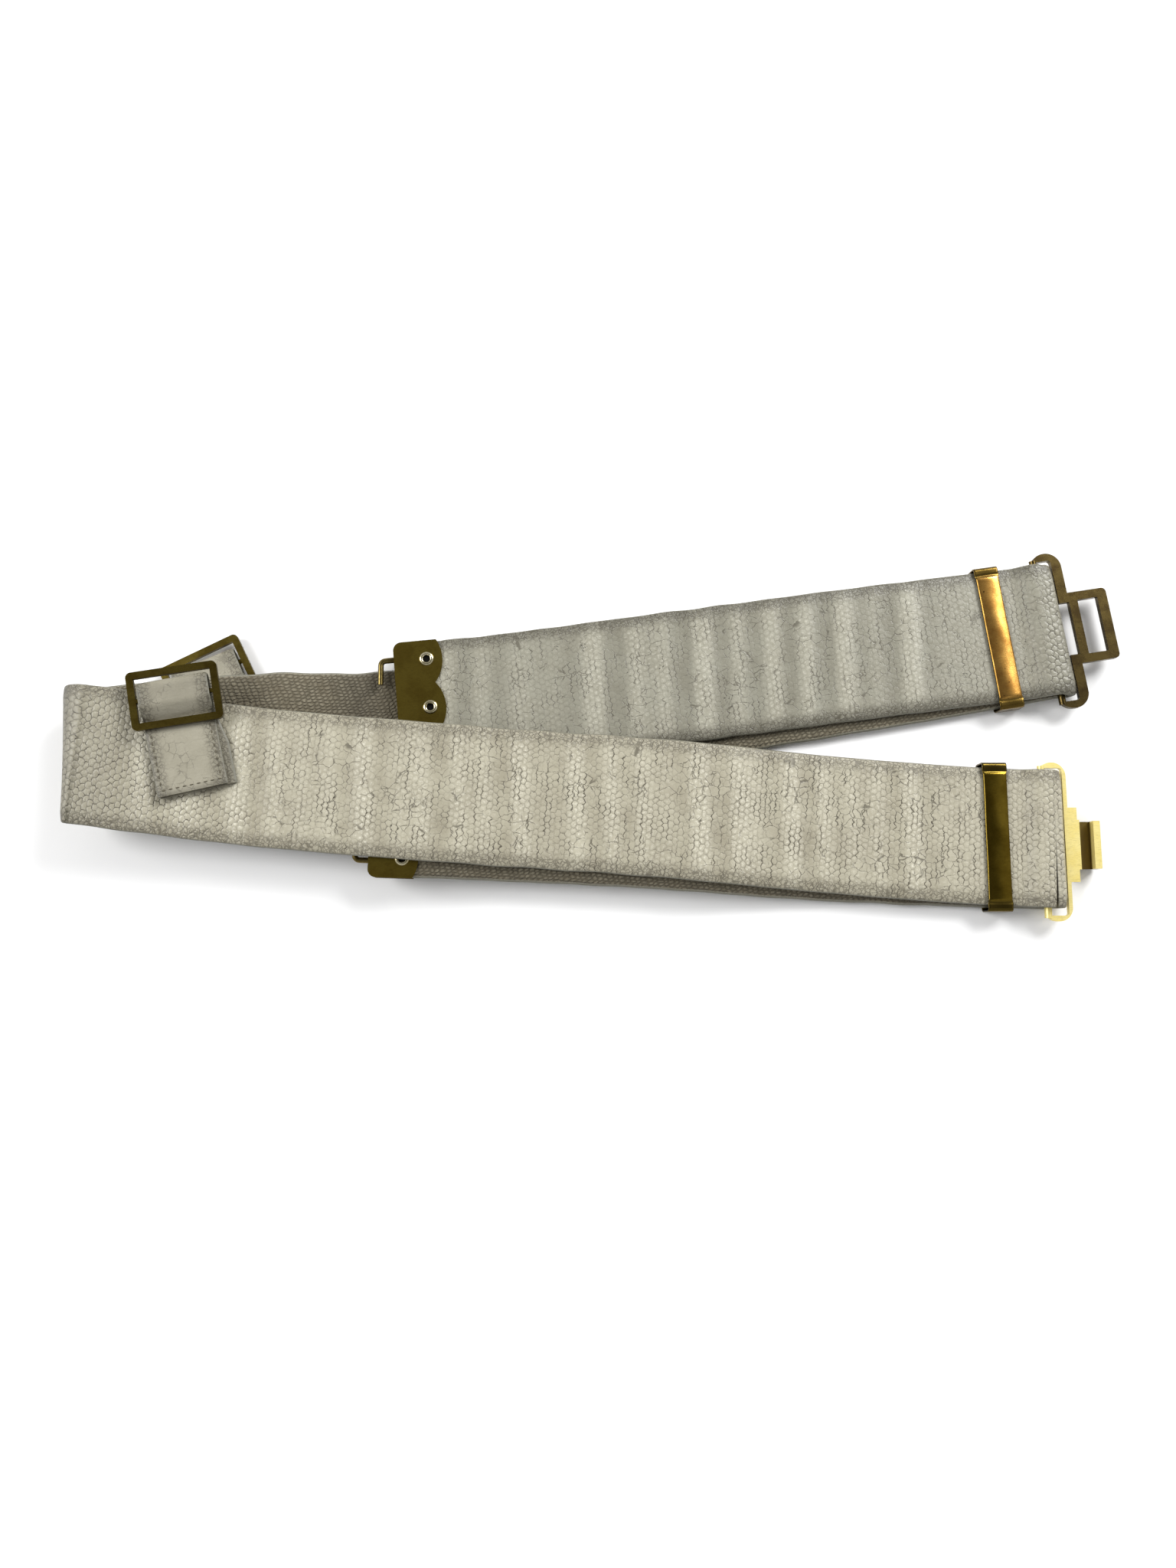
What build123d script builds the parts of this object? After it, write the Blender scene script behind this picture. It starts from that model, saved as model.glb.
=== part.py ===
from build123d import *
import os
from math import atan, cos, degrees, radians, sin, tan

# A webbing waist belt with brass fittings, adjusted short, folded once at the
# middle of its back and laid down flat.  Millimetres and degrees.  +Z is up,
# the table is z = 0, and the origin is under the middle of the footprint.
os.makedirs("parts", exist_ok=True)

# Strap webbing and the spaces between pieces
WEB_WIDTH = 57.15
WEB_THICK = 3.2
CLEAR = 0.3
TOUCH = 0.05

# Middle of the footprint, in the coordinates that the straps are laid out in
MIDDLE_X = 3.72
MIDDLE_Y = 20.355

# The fold at the middle of the back: where the strap turns over on itself
FOLD_X = -213.4
FOLD_LEAN = 5.6
FOLD_LOW = 9.6
FOLD_HIGH = 22.4
FOLD_RADIUS = (FOLD_HIGH - FOLD_LOW) / 2

# Centre lines of the four lengths of webbing, seen from above: (x, y)
REAR_LINE = ((FOLD_X, 10.1), (-143, 16.5), (-89, 19.5), (78, 44.4), (136, 54.0), (203, 66.0))
FRONT_LINE = ((FOLD_X, 10.1), (-132, 0.4), (-59, -5.6), (16, -10.5), (93, -17.2), (163, -22.5), (203, -24.3))
END_A_LINE = ((-81, 30.2), (-54, 32.9), (44, 45.9), (140, 58.2), (203, 66.0))
END_B_LINE = ((-94, -11.0), (-50, -12.5), (16, -15.5), (93, -20.6), (163, -23.5), (203, -24.5))

# Heights of the middle of the webbing above the table along x: (x, z)
REAR_RISE = ((-209, 9.6), (-131, 9.6), (-95, 1.7), (-80, 1.6), (60, 1.6), (110, 2.7), (203, 2.7))
FRONT_RISE = ((-209, 22.4), (-190, 20.7), (-170, 18.95), (-150, 17.2), (-135, 16.3), (-100, 16.0),
              (-66, 15.9), (-36, 13.4), (-16, 12.2), (44, 12.2), (78, 8.7), (110, 6.2), (179, 6.2))
END_A_RISE = ((-81, 6.15), (-58, 6.15), (-40, 5.2), (-30, 5.1), (60, 5.1), (110, 6.2), (183, 6.2))
END_B_RISE = ((-94, 11.35), (-65, 11.35), (-46, 10.2), (-28, 8.7), (44, 8.7), (78, 5.2), (110, 2.7),
              (203, 2.7))
STATION = 12.0
CLIMB_STATION = 3.0

# Brass tips: a folded sheet over each end of the strap, its free edge scalloped
TIP_A = (-79.9, 30.2, 6.15, 5.5)
TIP_B = (-88.9, -11.2, 11.35, -2.0)
TIP_SHEET = 0.6
TIP_LENGTH = 20.5
TIP_CUSP = 16.7
TIP_HALF = 28.9
TIP_CORNER = 3.5
LOBE_PITCH = 20.8
EYELET_INSET = 13.8
EYELET_HOLE = 1.5
EYELET_BARREL = 2.0
EYELET_FLANGE = 3.1
EYELET_RIM = 0.4
HOLE_SLACK = 0.15

# Wire hooks that lie in the fold of each brass tip, and the gaps they come out through
WIRE_RADIUS = 1.2
WIRE_BEND = 2.0
WIRE_INSET = 1.95
HOOK_SPREAD = 22.0
HOOK_REACH = 6.6
HOOK_SLANT = 0.9
HOOK_END = 11.9
WEB_INSET = 3.4
WIRE_GAP = 4.8
WIRE_GAP_INSET = 0.7

# Keepers: brass bands that slide along the doubled strap
KEEPER_A = (173.7, 61.55, 8.3)
KEEPER_B = (169.1, -23.0, 0.0)
KEEPER_WIDTH = 10.2
KEEPER_LONG = 62.0
KEEPER_BAND = 0.7
KEEPER_HEIGHT = 8.9
KEEPER_CORNER = 1.6

# Clasps: (x, y, heading) of the hidden bar that the webbing is folded round
CLASP_A = (195.4, 64.2, 8.9)
CLASP_B = (189.3, -24.9, 0.0)
STRAP_SLIP = 1.0
STRAP_AT_B = (CLASP_B[0], CLASP_B[1] + STRAP_SLIP, CLASP_B[2])
CLASP_Z = 6.1
CLASP_THICK = 2.4
CLASP_BAR = 1.5
CLASP_BACK = 1.9
SLOT_CORNER = 1.2
RING_FLAT = 0.1
CREST_RUN = 20.0
THROUGH = 3.0
WRAP_RADIUS = 3.4
WRAP_A = 1.7
WRAP_B = 2.9

# Clasp with the window
LOOP_HALF = 34.0
LOOP_SLOT_HALF = 30.7
LOOP_SLOT_OUT = 7.1
LOOP_PLATE_OUT = 11.3
LOOP_RECESS_HALF = 11.4
LOOP_TONGUE_HALF = 15.5
LOOP_WINDOW_IN = 15.0
LOOP_WINDOW_OUT = 23.6
LOOP_WINDOW_HALF = 11.8
LOOP_OUT = 27.8
LOOP_CORNER = 2.0

# Clasp with the hook
HOOK_HALF = 33.0
HOOK_SLOT_HALF = 30.6
HOOK_SLOT_OUT = 8.2
HOOK_PLATE_OUT = 9.8
HOOK_STEP_OUT = 13.5
HOOK_STEP_HALF = 15.4
HOOK_NECK_OUT = 14.4
HOOK_NECK_HALF = 10.3
HOOK_HALF_WIDTH = 9.9
HOOK_OFFSET = -1.4
THROAT_OUT = 20.1
HOOK_LIP_OUT = 22.9
HOOK_FLOOR_LOW = 1.1
HOOK_FLOOR_HIGH = 2.8

# Narrow webbing tabs (chapes) and their tongueless buckles
CHAPE_WIDTH = 28.2
CHAPE_THICK = 1.6
CHAPE_TAB = 31.0
CHAPE_LOOP = 44.1
LUG_REACH = 39.4
LUG_RADIUS = 1.0
LUG_LENGTH = 4.2
LUG_ROOT = 0.5
BUCKLE_LONG = 36.2
BUCKLE_WIDE = 24.2
BUCKLE_BAR = 2.9
BUCKLE_THICK = 2.0
BUCKLE_CORNER = 2.2
FRONT_TAB = (-159.6, -5.95, 103.5)
REAR_TAB = (-146.6, 9.1, 109.5)
FRONT_TURN = ((0, 0), (18, 0), (45, -0.9))
REAR_TURN = ((0, 0), (18, 0), (45, -2.1))
FRONT_BUCKLE_TURN = -3.2
REAR_BUCKLE_TURN = -7.0


def slope(knots, i):
    """Slope of a smooth curve at one of its knots, without overshoot."""
    if i == 0:
        return (knots[1][1] - knots[0][1]) / (knots[1][0] - knots[0][0])
    before = (knots[i][1] - knots[i - 1][1]) / (knots[i][0] - knots[i - 1][0])
    if i == len(knots) - 1:
        return before
    after = (knots[i + 1][1] - knots[i][1]) / (knots[i + 1][0] - knots[i][0])
    if before * after <= 0:
        return 0.0
    return 2 * before * after / (before + after)


def curve(knots, x):
    """Value and slope, at x, of the smooth curve through the knots."""
    i = 0
    while i < len(knots) - 2 and x > knots[i + 1][0]:
        i += 1
    x0, y0 = knots[i]
    x1, y1 = knots[i + 1]
    run = x1 - x0
    t = (x - x0) / run
    a = slope(knots, i) * run
    b = slope(knots, i + 1) * run
    rise = y1 - y0
    value = y0 + a * t + (3 * rise - 2 * a - b) * t**2 + (a + b - 2 * rise) * t**3
    grade = (a + 2 * (3 * rise - 2 * a - b) * t + 3 * (a + b - 2 * rise) * t**2) / run
    return value, grade


def section(x, y, z, heading, pitch, width, thick):
    """Cross-section of a flat strap that runs along heading and pitch."""
    h = radians(heading)
    p = radians(pitch)
    along = Vector(cos(p) * cos(h), cos(p) * sin(h), sin(p))
    across = Vector(-sin(h), cos(h), 0)
    plane = Plane(origin=(x, y, z), x_dir=across, z_dir=along)
    return plane * Rectangle(width, thick)


def strap_section(line, rise, x, back):
    """Cross-section of the strap webbing at x; back is True when it runs towards -x."""
    y, turn = curve(line, x)
    z, grade = curve(rise, x)
    pitch = degrees(atan(grade))
    if back:
        pitch = pitch + 180
    return section(x, y, z, degrees(atan(turn)), pitch, WEB_WIDTH, WEB_THICK)


def strap_run(line, rise, start, end, step=STATION):
    """Cross-sections of the strap webbing from start to end along x."""
    count = max(1, round(abs(end - start) / step))
    xs = [start + (end - start) * i / count for i in range(count + 1)]
    return [strap_section(line, rise, x, end < start) for x in xs]


def fold_sections(line, start, end):
    """Cross-sections round the fold, from start to end degrees of its turn."""
    middle_x = FOLD_X + FOLD_RADIUS
    middle_z = (FOLD_LOW + FOLD_HIGH) / 2
    rear_heading = degrees(atan(curve(REAR_LINE, middle_x)[1]))
    front_heading = degrees(atan(curve(FRONT_LINE, middle_x)[1]))
    found = []
    for i in range(7):
        turn = start + (end - start) * i / 6
        x = middle_x - FOLD_RADIUS * sin(radians(turn))
        y = curve(line, x)[0]
        z = middle_z - FOLD_RADIUS * cos(radians(turn))
        heading = rear_heading + (front_heading - rear_heading) * turn / 180 + FOLD_LEAN * sin(radians(turn))
        found.append(section(x, y, z, heading, 180 - turn, WEB_WIDTH, WEB_THICK))
    return found


def wrap_centre(clasp, reach):
    """Middle of the turn that the webbing makes round a clasp's bar."""
    x, y, heading = clasp
    h = radians(heading)
    return x + reach * cos(h), y + reach * sin(h)


def wrap_sections(clasp, reach, over):
    """Cross-sections round a clasp's bar; over is True when the strap starts on top."""
    x, y = wrap_centre(clasp, reach)
    h = radians(clasp[2])
    found = []
    for i in range(9):
        turn = 180 * i / 8
        side = WRAP_RADIUS * sin(radians(turn))
        lift = -WRAP_RADIUS * cos(radians(turn))
        pitch = turn
        if over:
            lift = -lift
            pitch = -turn
        place = (x + side * cos(h), y + side * sin(h), CLASP_Z + lift)
        found.append(section(*place, clasp[2], pitch, WEB_WIDTH, WEB_THICK))
    return found


def webbing_rear():
    """Rear length of the strap, from under the clasp's bar to the fold."""
    start = wrap_centre(CLASP_A, WRAP_A)[0]
    sections = [wrap_sections(CLASP_A, WRAP_A, False)[0]]
    sections += strap_run(REAR_LINE, REAR_RISE, start, FOLD_X + FOLD_RADIUS)[1:]
    return loft(sections + fold_sections(REAR_LINE, 0, 90)[1:], ruled=True)


def webbing_front():
    """Front length of the strap, from the fold to the top of the clasp's bar."""
    end = wrap_centre(STRAP_AT_B, WRAP_B)[0]
    rise = climb_to_clasp(FRONT_RISE, STRAP_AT_B)
    foot = FRONT_RISE[-1][0]
    sections = fold_sections(FRONT_LINE, 90, 180)
    sections += strap_run(FRONT_LINE, rise, FOLD_X + FOLD_RADIUS, foot)[1:]
    sections += strap_run(FRONT_LINE, rise, foot, end, CLIMB_STATION)[1:-1]
    return loft(sections + wrap_sections(STRAP_AT_B, WRAP_B, True)[:1], ruled=True)


def climb_to_clasp(rise, clasp):
    """Heights of an upper layer that climbs over the back edge of a clasp."""
    top = CLASP_Z + WRAP_RADIUS
    crest = clasp[0] - CLASP_BACK - 2 * CLEAR
    return rise + ((crest, top), (crest + CREST_RUN, top))


def tip_plane(tip):
    """Plane at the middle of a brass tip's folded edge, x towards the clasp."""
    x, y, z, heading = tip
    h = radians(heading)
    return Plane(origin=(x, y, z), x_dir=(cos(h), sin(h), 0), z_dir=(0, 0, 1))


def eyelet_spots():
    return [(EYELET_INSET, LOBE_PITCH * (1 - i)) for i in range(3)]


def tip_web_sections(tip):
    """Flat end of the webbing inside a brass tip."""
    x, y, z, heading = tip
    h = radians(heading)
    reaches = (TIP_LENGTH + 1, WEB_INSET)
    return [section(x + r * cos(h), y + r * sin(h), z, heading, 180, WEB_WIDTH, WEB_THICK) for r in reaches]


def eyelet_holes(tip):
    """Round holes for the eyelets of a brass tip."""
    holes = [Pos(u, v) * Cylinder(EYELET_BARREL + HOLE_SLACK, 3 * WEB_THICK) for u, v in eyelet_spots()]
    return [tip_plane(tip) * hole for hole in holes]


def webbing_end(clasp, reach, over, line, rise, tip):
    """The length folded back from a clasp to its brass tip; over is as in wrap_sections."""
    start = wrap_centre(clasp, reach)[0]
    foot = rise[-1][0]
    sections = wrap_sections(clasp, reach, over)
    if over:
        sections += strap_run(line, rise, start, tip[0] + TIP_LENGTH + 6)[1:]
    else:
        rise = climb_to_clasp(rise, clasp)
        sections += strap_run(line, rise, start, foot, CLIMB_STATION)[1:]
        sections += strap_run(line, rise, foot, tip[0] + TIP_LENGTH + 6)[1:]
    body = loft(sections + tip_web_sections(tip), ruled=True)
    for hole in eyelet_holes(tip):
        body -= hole
    return body


def tip_outline():
    """Brass tip seen from above: rounded folded corners, three scallops."""
    wing = LOBE_PITCH / 2
    sag = TIP_LENGTH - TIP_CUSP
    bulge = (wing**2 + sag**2) / (2 * sag)
    outer = TIP_HALF - LOBE_PITCH
    side = TIP_LENGTH - bulge + (bulge**2 - outer**2) ** 0.5
    half = TIP_HALF - TIP_CORNER
    nick = TIP_CORNER * (1 - 0.5**0.5)
    top = [Line((TIP_CORNER, TIP_HALF), (side, TIP_HALF))]
    top += [ThreePointArc((0, half), (nick, TIP_HALF - nick), (TIP_CORNER, TIP_HALF))]
    top += [ThreePointArc((side, TIP_HALF), (TIP_LENGTH, LOBE_PITCH), (TIP_CUSP, wing))]
    edges = top + [edge.mirror(Plane.XZ) for edge in top]
    edges += [Line((0, -half), (0, half))]
    edges += [ThreePointArc((TIP_CUSP, wing), (TIP_LENGTH, 0), (TIP_CUSP, -wing))]
    return make_face(Curve() + edges)


def tip_plate(tip):
    """Folded brass sheet: two skins joined along the fold, open where the wire comes out."""
    skin = tip_outline()
    for u, v in eyelet_spots():
        skin -= Pos(u, v) * Circle(EYELET_BARREL + HOLE_SLACK)
    face = WEB_THICK / 2 + TOUCH
    plate = extrude(Pos(0, 0, face) * skin, TIP_SHEET)
    plate += extrude(Pos(0, 0, -face) * skin, -TIP_SHEET)
    tall = 2 * (face + TIP_SHEET)
    wall = Pos(TIP_SHEET / 2, 0) * Box(TIP_SHEET, 2 * (TIP_HALF - TIP_CORNER), tall)
    gap = Box(4 * TIP_SHEET, WIRE_GAP, 2 * face)
    for side in (1, -1):
        wall -= Pos(0, side * (HOOK_SPREAD - WIRE_GAP_INSET)) * gap
    return tip_plane(tip) * (plate + wall)


def tip_hooks(tip):
    """One wire along the fold of a brass tip, its two ends bent into hooks."""
    side = [(-HOOK_REACH, HOOK_END), (HOOK_SLANT - HOOK_REACH, HOOK_SPREAD), (WIRE_INSET, HOOK_SPREAD)]
    points = side + [(u, -v) for u, v in side[::-1]]
    path = FilletPolyline(*points, radius=WIRE_BEND)
    start = Plane(origin=(*points[0], 0), z_dir=(HOOK_SLANT, HOOK_SPREAD - HOOK_END, 0))
    wire = sweep(start * Circle(WIRE_RADIUS), path)
    return tip_plane(tip) * wire


def eyelet(tip, spot):
    """Tubular rivet through a brass tip and the webbing."""
    half = WEB_THICK / 2 + TOUCH + TIP_SHEET
    body = Cylinder(EYELET_BARREL, 2 * half)
    for side in (1, -1):
        body += Pos(0, 0, side * (half + EYELET_RIM / 2)) * Cylinder(EYELET_FLANGE, EYELET_RIM)
    body -= Cylinder(EYELET_HOLE, 4 * half)
    return tip_plane(tip) * Pos(*spot) * body


def keeper(place):
    """Flat brass band closed round both layers of the strap."""
    x, y, heading = place
    outer = Box(KEEPER_WIDTH, KEEPER_LONG, KEEPER_HEIGHT)
    outer = fillet(outer.edges().filter_by(Axis.X), KEEPER_CORNER)
    inner = Box(KEEPER_WIDTH + 2, KEEPER_LONG - 2 * KEEPER_BAND, KEEPER_HEIGHT - 2 * KEEPER_BAND)
    inner = fillet(inner.edges().filter_by(Axis.X), KEEPER_CORNER - KEEPER_BAND)
    return Pos(x, y, KEEPER_HEIGHT / 2) * Rot(0, 0, heading) * (outer - inner)


def slab(u0, u1, half, z0=-CLASP_THICK / 2, z1=CLASP_THICK / 2):
    """Plain block between u0 and u1, half is half its length across the strap."""
    return Pos((u0 + u1) / 2, 0, (z0 + z1) / 2) * Box(u1 - u0, 2 * half, z1 - z0)


def clasp_ring(half, slot_half, slot_out, plate_out):
    """Flat ring with round ends, and the round bar that holds the webbing."""
    ring = slab(-CLASP_BACK, plate_out, half)
    end = (plate_out + CLASP_BACK) / 2 - RING_FLAT
    ring = fillet(ring.edges().filter_by(Axis.Z), end)
    slot = slab(-CLASP_BACK - 1, slot_out, slot_half)
    slot = fillet(slot.edges().filter_by(Axis.Z), SLOT_CORNER)
    bar = Rot(90, 0, 0) * Cylinder(CLASP_BAR, 2 * slot_half + 2)
    return ring - slot + bar


def clasp_place(clasp):
    x, y, heading = clasp
    return Pos(x, y, CLASP_Z) * Rot(0, 0, heading)


def clasp_loop():
    """Clasp with the window that the hook goes into."""
    body = clasp_ring(LOOP_HALF, LOOP_SLOT_HALF, LOOP_SLOT_OUT, LOOP_PLATE_OUT)
    loop = slab(LOOP_PLATE_OUT - 2, LOOP_OUT, LOOP_TONGUE_HALF)
    corners = loop.edges().filter_by(Axis.Z).sort_by(Axis.X)[-2:]
    loop = fillet(corners, LOOP_CORNER)
    body += loop
    body -= slab(LOOP_SLOT_OUT - 0.5, LOOP_PLATE_OUT, LOOP_RECESS_HALF, -THROUGH, THROUGH)
    body -= slab(LOOP_WINDOW_IN, LOOP_WINDOW_OUT, LOOP_WINDOW_HALF, -THROUGH, THROUGH)
    return clasp_place(CLASP_A) * body


def clasp_hook():
    """Clasp with the hook: a stepped plate that dips into a trough and ends in a lip."""
    top = CLASP_THICK / 2
    low = HOOK_FLOOR_LOW - CLASP_Z
    hook = slab(HOOK_SLOT_OUT, HOOK_STEP_OUT, HOOK_STEP_HALF)
    hook += slab(HOOK_STEP_OUT - 1, HOOK_NECK_OUT, HOOK_NECK_HALF)
    hook += slab(HOOK_NECK_OUT - 2, HOOK_NECK_OUT, HOOK_HALF_WIDTH, low, top)
    hook += slab(HOOK_NECK_OUT - 2, HOOK_LIP_OUT, HOOK_HALF_WIDTH, low, HOOK_FLOOR_HIGH - CLASP_Z)
    hook += slab(THROAT_OUT, HOOK_LIP_OUT, HOOK_HALF_WIDTH, low, top)
    body = clasp_ring(HOOK_HALF, HOOK_SLOT_HALF, HOOK_SLOT_OUT, HOOK_PLATE_OUT)
    body += Pos(0, HOOK_OFFSET) * hook
    return clasp_place(CLASP_B) * body


def strap_face(tab, line, rise, side):
    """Plane on a face of the strap where a tab starts; side is 1 on top, -1 below."""
    x, y, bearing = tab
    centre_y, turn = curve(line, x)
    centre_z, grade = curve(rise, x)
    h = atan(turn)
    p = atan(grade)
    normal = Vector(-sin(p) * cos(h), -sin(p) * sin(h), cos(p))
    z = centre_z + (y - centre_y) * sin(h) * tan(p)
    origin = Vector(x, y, z) + normal * (side * WEB_THICK / 2)
    b = radians(bearing)
    out = Vector(cos(b), sin(b), 0)
    return Plane(origin=origin, x_dir=out - normal * out.dot(normal), z_dir=normal * side)


def chape_rows():
    """Side view of a chape: (reach, height, pitch) out under the lugs and back over them."""
    low = CLEAR + CHAPE_THICK / 2
    stacked = low + CHAPE_THICK + TOUCH
    frame = lug_height()
    turn = LUG_RADIUS + CLEAR + CHAPE_THICK / 2
    rows = [(0, low, 0), (16, low, 0), (CHAPE_TAB + 1, low, 0), (35, (low + frame - turn) / 2, 15)]
    rows += [(38, frame - turn, 0)]
    for i in range(7):
        a = 30 * i
        rows += [(CHAPE_LOOP + turn * sin(radians(a)), frame - turn * cos(radians(a)), a)]
    rows += [(37, frame + turn, 180), (34, (stacked + frame + turn) / 2, 215)]
    rows += [(CHAPE_TAB, stacked, 180), (16, stacked, 180), (0, stacked, 180)]
    return rows


def lug_height():
    """Height of a buckle's lugs above the strap face that its chape is sewn to."""
    return CLEAR + 2 * CHAPE_THICK + TOUCH + CLEAR + BUCKLE_THICK / 2


def chape(plane, turns):
    """Narrow webbing folded round the lugs of a buckle, ends sewn to the strap."""
    sections = []
    for reach, height, pitch in chape_rows():
        y, grade = curve(turns, reach)
        sections.append(section(reach, y, height, degrees(atan(grade)), pitch, CHAPE_WIDTH, CHAPE_THICK))
    return plane * loft(sections, ruled=True)


def buckle(plane, turns, turn):
    """Rectangular tongueless buckle with a lug in from each side."""
    outer = RectangleRounded(BUCKLE_WIDE, BUCKLE_LONG, BUCKLE_CORNER)
    inner = Rectangle(BUCKLE_WIDE - 2 * BUCKLE_BAR, BUCKLE_LONG - 2 * BUCKLE_BAR)
    frame = extrude(outer - inner, BUCKLE_THICK / 2, both=True)
    reach = BUCKLE_LONG / 2 - BUCKLE_BAR - LUG_LENGTH / 2
    lug = Rot(90, 0, 0) * Cylinder(LUG_RADIUS, LUG_LENGTH + 2 * LUG_ROOT)
    for side in (1, -1):
        frame += Pos(0, side * (reach + LUG_ROOT)) * lug
    y = curve(turns, LUG_REACH)[0]
    return plane * Pos(LUG_REACH, y, lug_height()) * Rot(0, 0, turn) * frame


def save(shape, name):
    """Write one piece, shifted so that the origin is under the middle of the belt."""
    moved = Pos(-MIDDLE_X, -MIDDLE_Y) * shape
    export_step(moved, f"parts/{name}.step")


FRONT_FACE = strap_face(FRONT_TAB, FRONT_LINE, FRONT_RISE, 1)
REAR_FACE = strap_face(REAR_TAB, REAR_LINE, REAR_RISE, -1)

save(webbing_rear(), "webbing_rear")
save(webbing_front(), "webbing_front")
save(webbing_end(CLASP_A, WRAP_A, False, END_A_LINE, END_A_RISE, TIP_A), "webbing_end_a")
save(webbing_end(STRAP_AT_B, WRAP_B, True, END_B_LINE, END_B_RISE, TIP_B), "webbing_end_b")
for letter, tip in (("a", TIP_A), ("b", TIP_B)):
    save(tip_plate(tip), f"tip_plate_{letter}")
    save(tip_hooks(tip), f"tip_hooks_{letter}")
    for number, spot in enumerate(eyelet_spots(), 1):
        save(eyelet(tip, spot), f"eyelet_{letter}{number}")
save(keeper(KEEPER_A), "keeper_a")
save(keeper(KEEPER_B), "keeper_b")
save(clasp_loop(), "clasp_loop")
save(clasp_hook(), "clasp_hook")
save(chape(FRONT_FACE, FRONT_TURN), "chape_front")
save(chape(REAR_FACE, REAR_TURN), "chape_rear")
save(buckle(FRONT_FACE, FRONT_TURN, FRONT_BUCKLE_TURN), "buckle_front")
save(buckle(REAR_FACE, REAR_TURN, REAR_BUCKLE_TURN), "buckle_rear")
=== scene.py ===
import math

import bpy
import numpy as np
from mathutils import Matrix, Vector


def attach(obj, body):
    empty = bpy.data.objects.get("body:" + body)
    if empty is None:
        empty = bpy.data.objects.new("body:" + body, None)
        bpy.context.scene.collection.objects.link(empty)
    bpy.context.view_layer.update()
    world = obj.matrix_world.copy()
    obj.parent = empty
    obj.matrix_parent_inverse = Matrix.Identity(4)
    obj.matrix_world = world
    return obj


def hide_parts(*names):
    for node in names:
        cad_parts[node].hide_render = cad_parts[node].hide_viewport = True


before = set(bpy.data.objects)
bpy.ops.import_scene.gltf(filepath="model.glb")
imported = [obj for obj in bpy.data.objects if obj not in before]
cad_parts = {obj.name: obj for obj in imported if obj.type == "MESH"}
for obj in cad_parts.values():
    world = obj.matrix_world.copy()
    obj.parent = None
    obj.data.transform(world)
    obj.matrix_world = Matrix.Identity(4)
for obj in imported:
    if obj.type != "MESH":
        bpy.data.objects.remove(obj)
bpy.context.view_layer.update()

# Webbing belt laid flat.  Lengths in this script are millimetres; MM turns them
# into metres.  The strap lines below are the same ones that the CAD part uses.
MM = 0.001
RNG = np.random.default_rng(7)
SHIFT = np.array([-3.72, -20.355, 0.0])

WEB_WIDTH = 57.15
WEB_HALF = WEB_WIDTH / 2
WEB_SKIN = 1.57
FOLD_X = -213.4
FOLD_LEAN = 5.6
FOLD_LOW = 9.6
FOLD_HIGH = 22.4
FOLD_RADIUS = (FOLD_HIGH - FOLD_LOW) / 2
REAR_LINE = ((FOLD_X, 10.1), (-143, 16.5), (-89, 19.5), (78, 44.4), (136, 54.0), (203, 66.0))
FRONT_LINE = ((FOLD_X, 10.1), (-132, 0.4), (-59, -5.6), (16, -10.5), (93, -17.2), (163, -22.5), (203, -24.3))
END_A_LINE = ((-81, 30.2), (-54, 32.9), (44, 45.9), (140, 58.2), (203, 66.0))
END_B_LINE = ((-94, -11.0), (-50, -12.5), (16, -15.5), (93, -20.6), (163, -23.5), (203, -24.5))
REAR_RISE = ((-209, 9.6), (-131, 9.6), (-95, 1.7), (-80, 1.6), (60, 1.6), (110, 2.7), (203, 2.7))
FRONT_RISE = ((-209, 22.4), (-190, 20.7), (-170, 18.95), (-150, 17.2), (-135, 16.3), (-100, 16.0),
              (-66, 15.9), (-36, 13.4), (-16, 12.2), (44, 12.2), (78, 8.7), (110, 6.2), (179, 6.2),
              (186.8, 9.5), (206.8, 9.5))
END_A_RISE = ((-81, 6.15), (-58, 6.15), (-40, 5.2), (-30, 5.1), (60, 5.1), (110, 6.2), (183, 6.2),
              (192.9, 9.5), (212.9, 9.5))
END_B_RISE = ((-94, 11.35), (-65, 11.35), (-46, 10.2), (-28, 8.7), (44, 8.7), (78, 5.2), (110, 2.7),
              (203, 2.7))
TIP_A = (-79.9, 30.2, 6.15, 5.5)
TIP_B = (-88.9, -11.2, 11.35, -2.0)
CLASP_A = (195.4, 64.2, 8.9)
STRAP_AT_B = (189.3, -23.9, 0.0)
CLASP_Z = 6.1
WRAP_RADIUS = 3.4
WRAP_A = 1.7
WRAP_B = 2.9
WAVE_PITCH = 14.0
SWAY_PITCH = 24.0
SWAY_SEED = 9
UV_PER_MM = 0.01
TABLE_GAP = 0.02
KEEPER_A = (173.7, 61.55, 8.3)
KEEPER_B = (169.1, -23.0, 0.0)


# ---------------------------------------------------------------- curves

def slope(knots, i):
    if i == 0:
        return (knots[1][1] - knots[0][1]) / (knots[1][0] - knots[0][0])
    before_it = (knots[i][1] - knots[i - 1][1]) / (knots[i][0] - knots[i - 1][0])
    if i == len(knots) - 1:
        return before_it
    after = (knots[i + 1][1] - knots[i][1]) / (knots[i + 1][0] - knots[i][0])
    if before_it * after <= 0:
        return 0.0
    return 2 * before_it * after / (before_it + after)


def curve(knots, x):
    """Value and slope, at x, of the smooth curve through the knots."""
    i = 0
    while i < len(knots) - 2 and x > knots[i + 1][0]:
        i += 1
    x0, y0 = knots[i]
    x1, y1 = knots[i + 1]
    run = x1 - x0
    t = (x - x0) / run
    a = slope(knots, i) * run
    b = slope(knots, i + 1) * run
    rise = y1 - y0
    value = y0 + a * t + (3 * rise - 2 * a - b) * t**2 + (a + b - 2 * rise) * t**3
    grade = (a + 2 * (3 * rise - 2 * a - b) * t + 3 * (a + b - 2 * rise) * t**2) / run
    return value, grade


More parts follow.
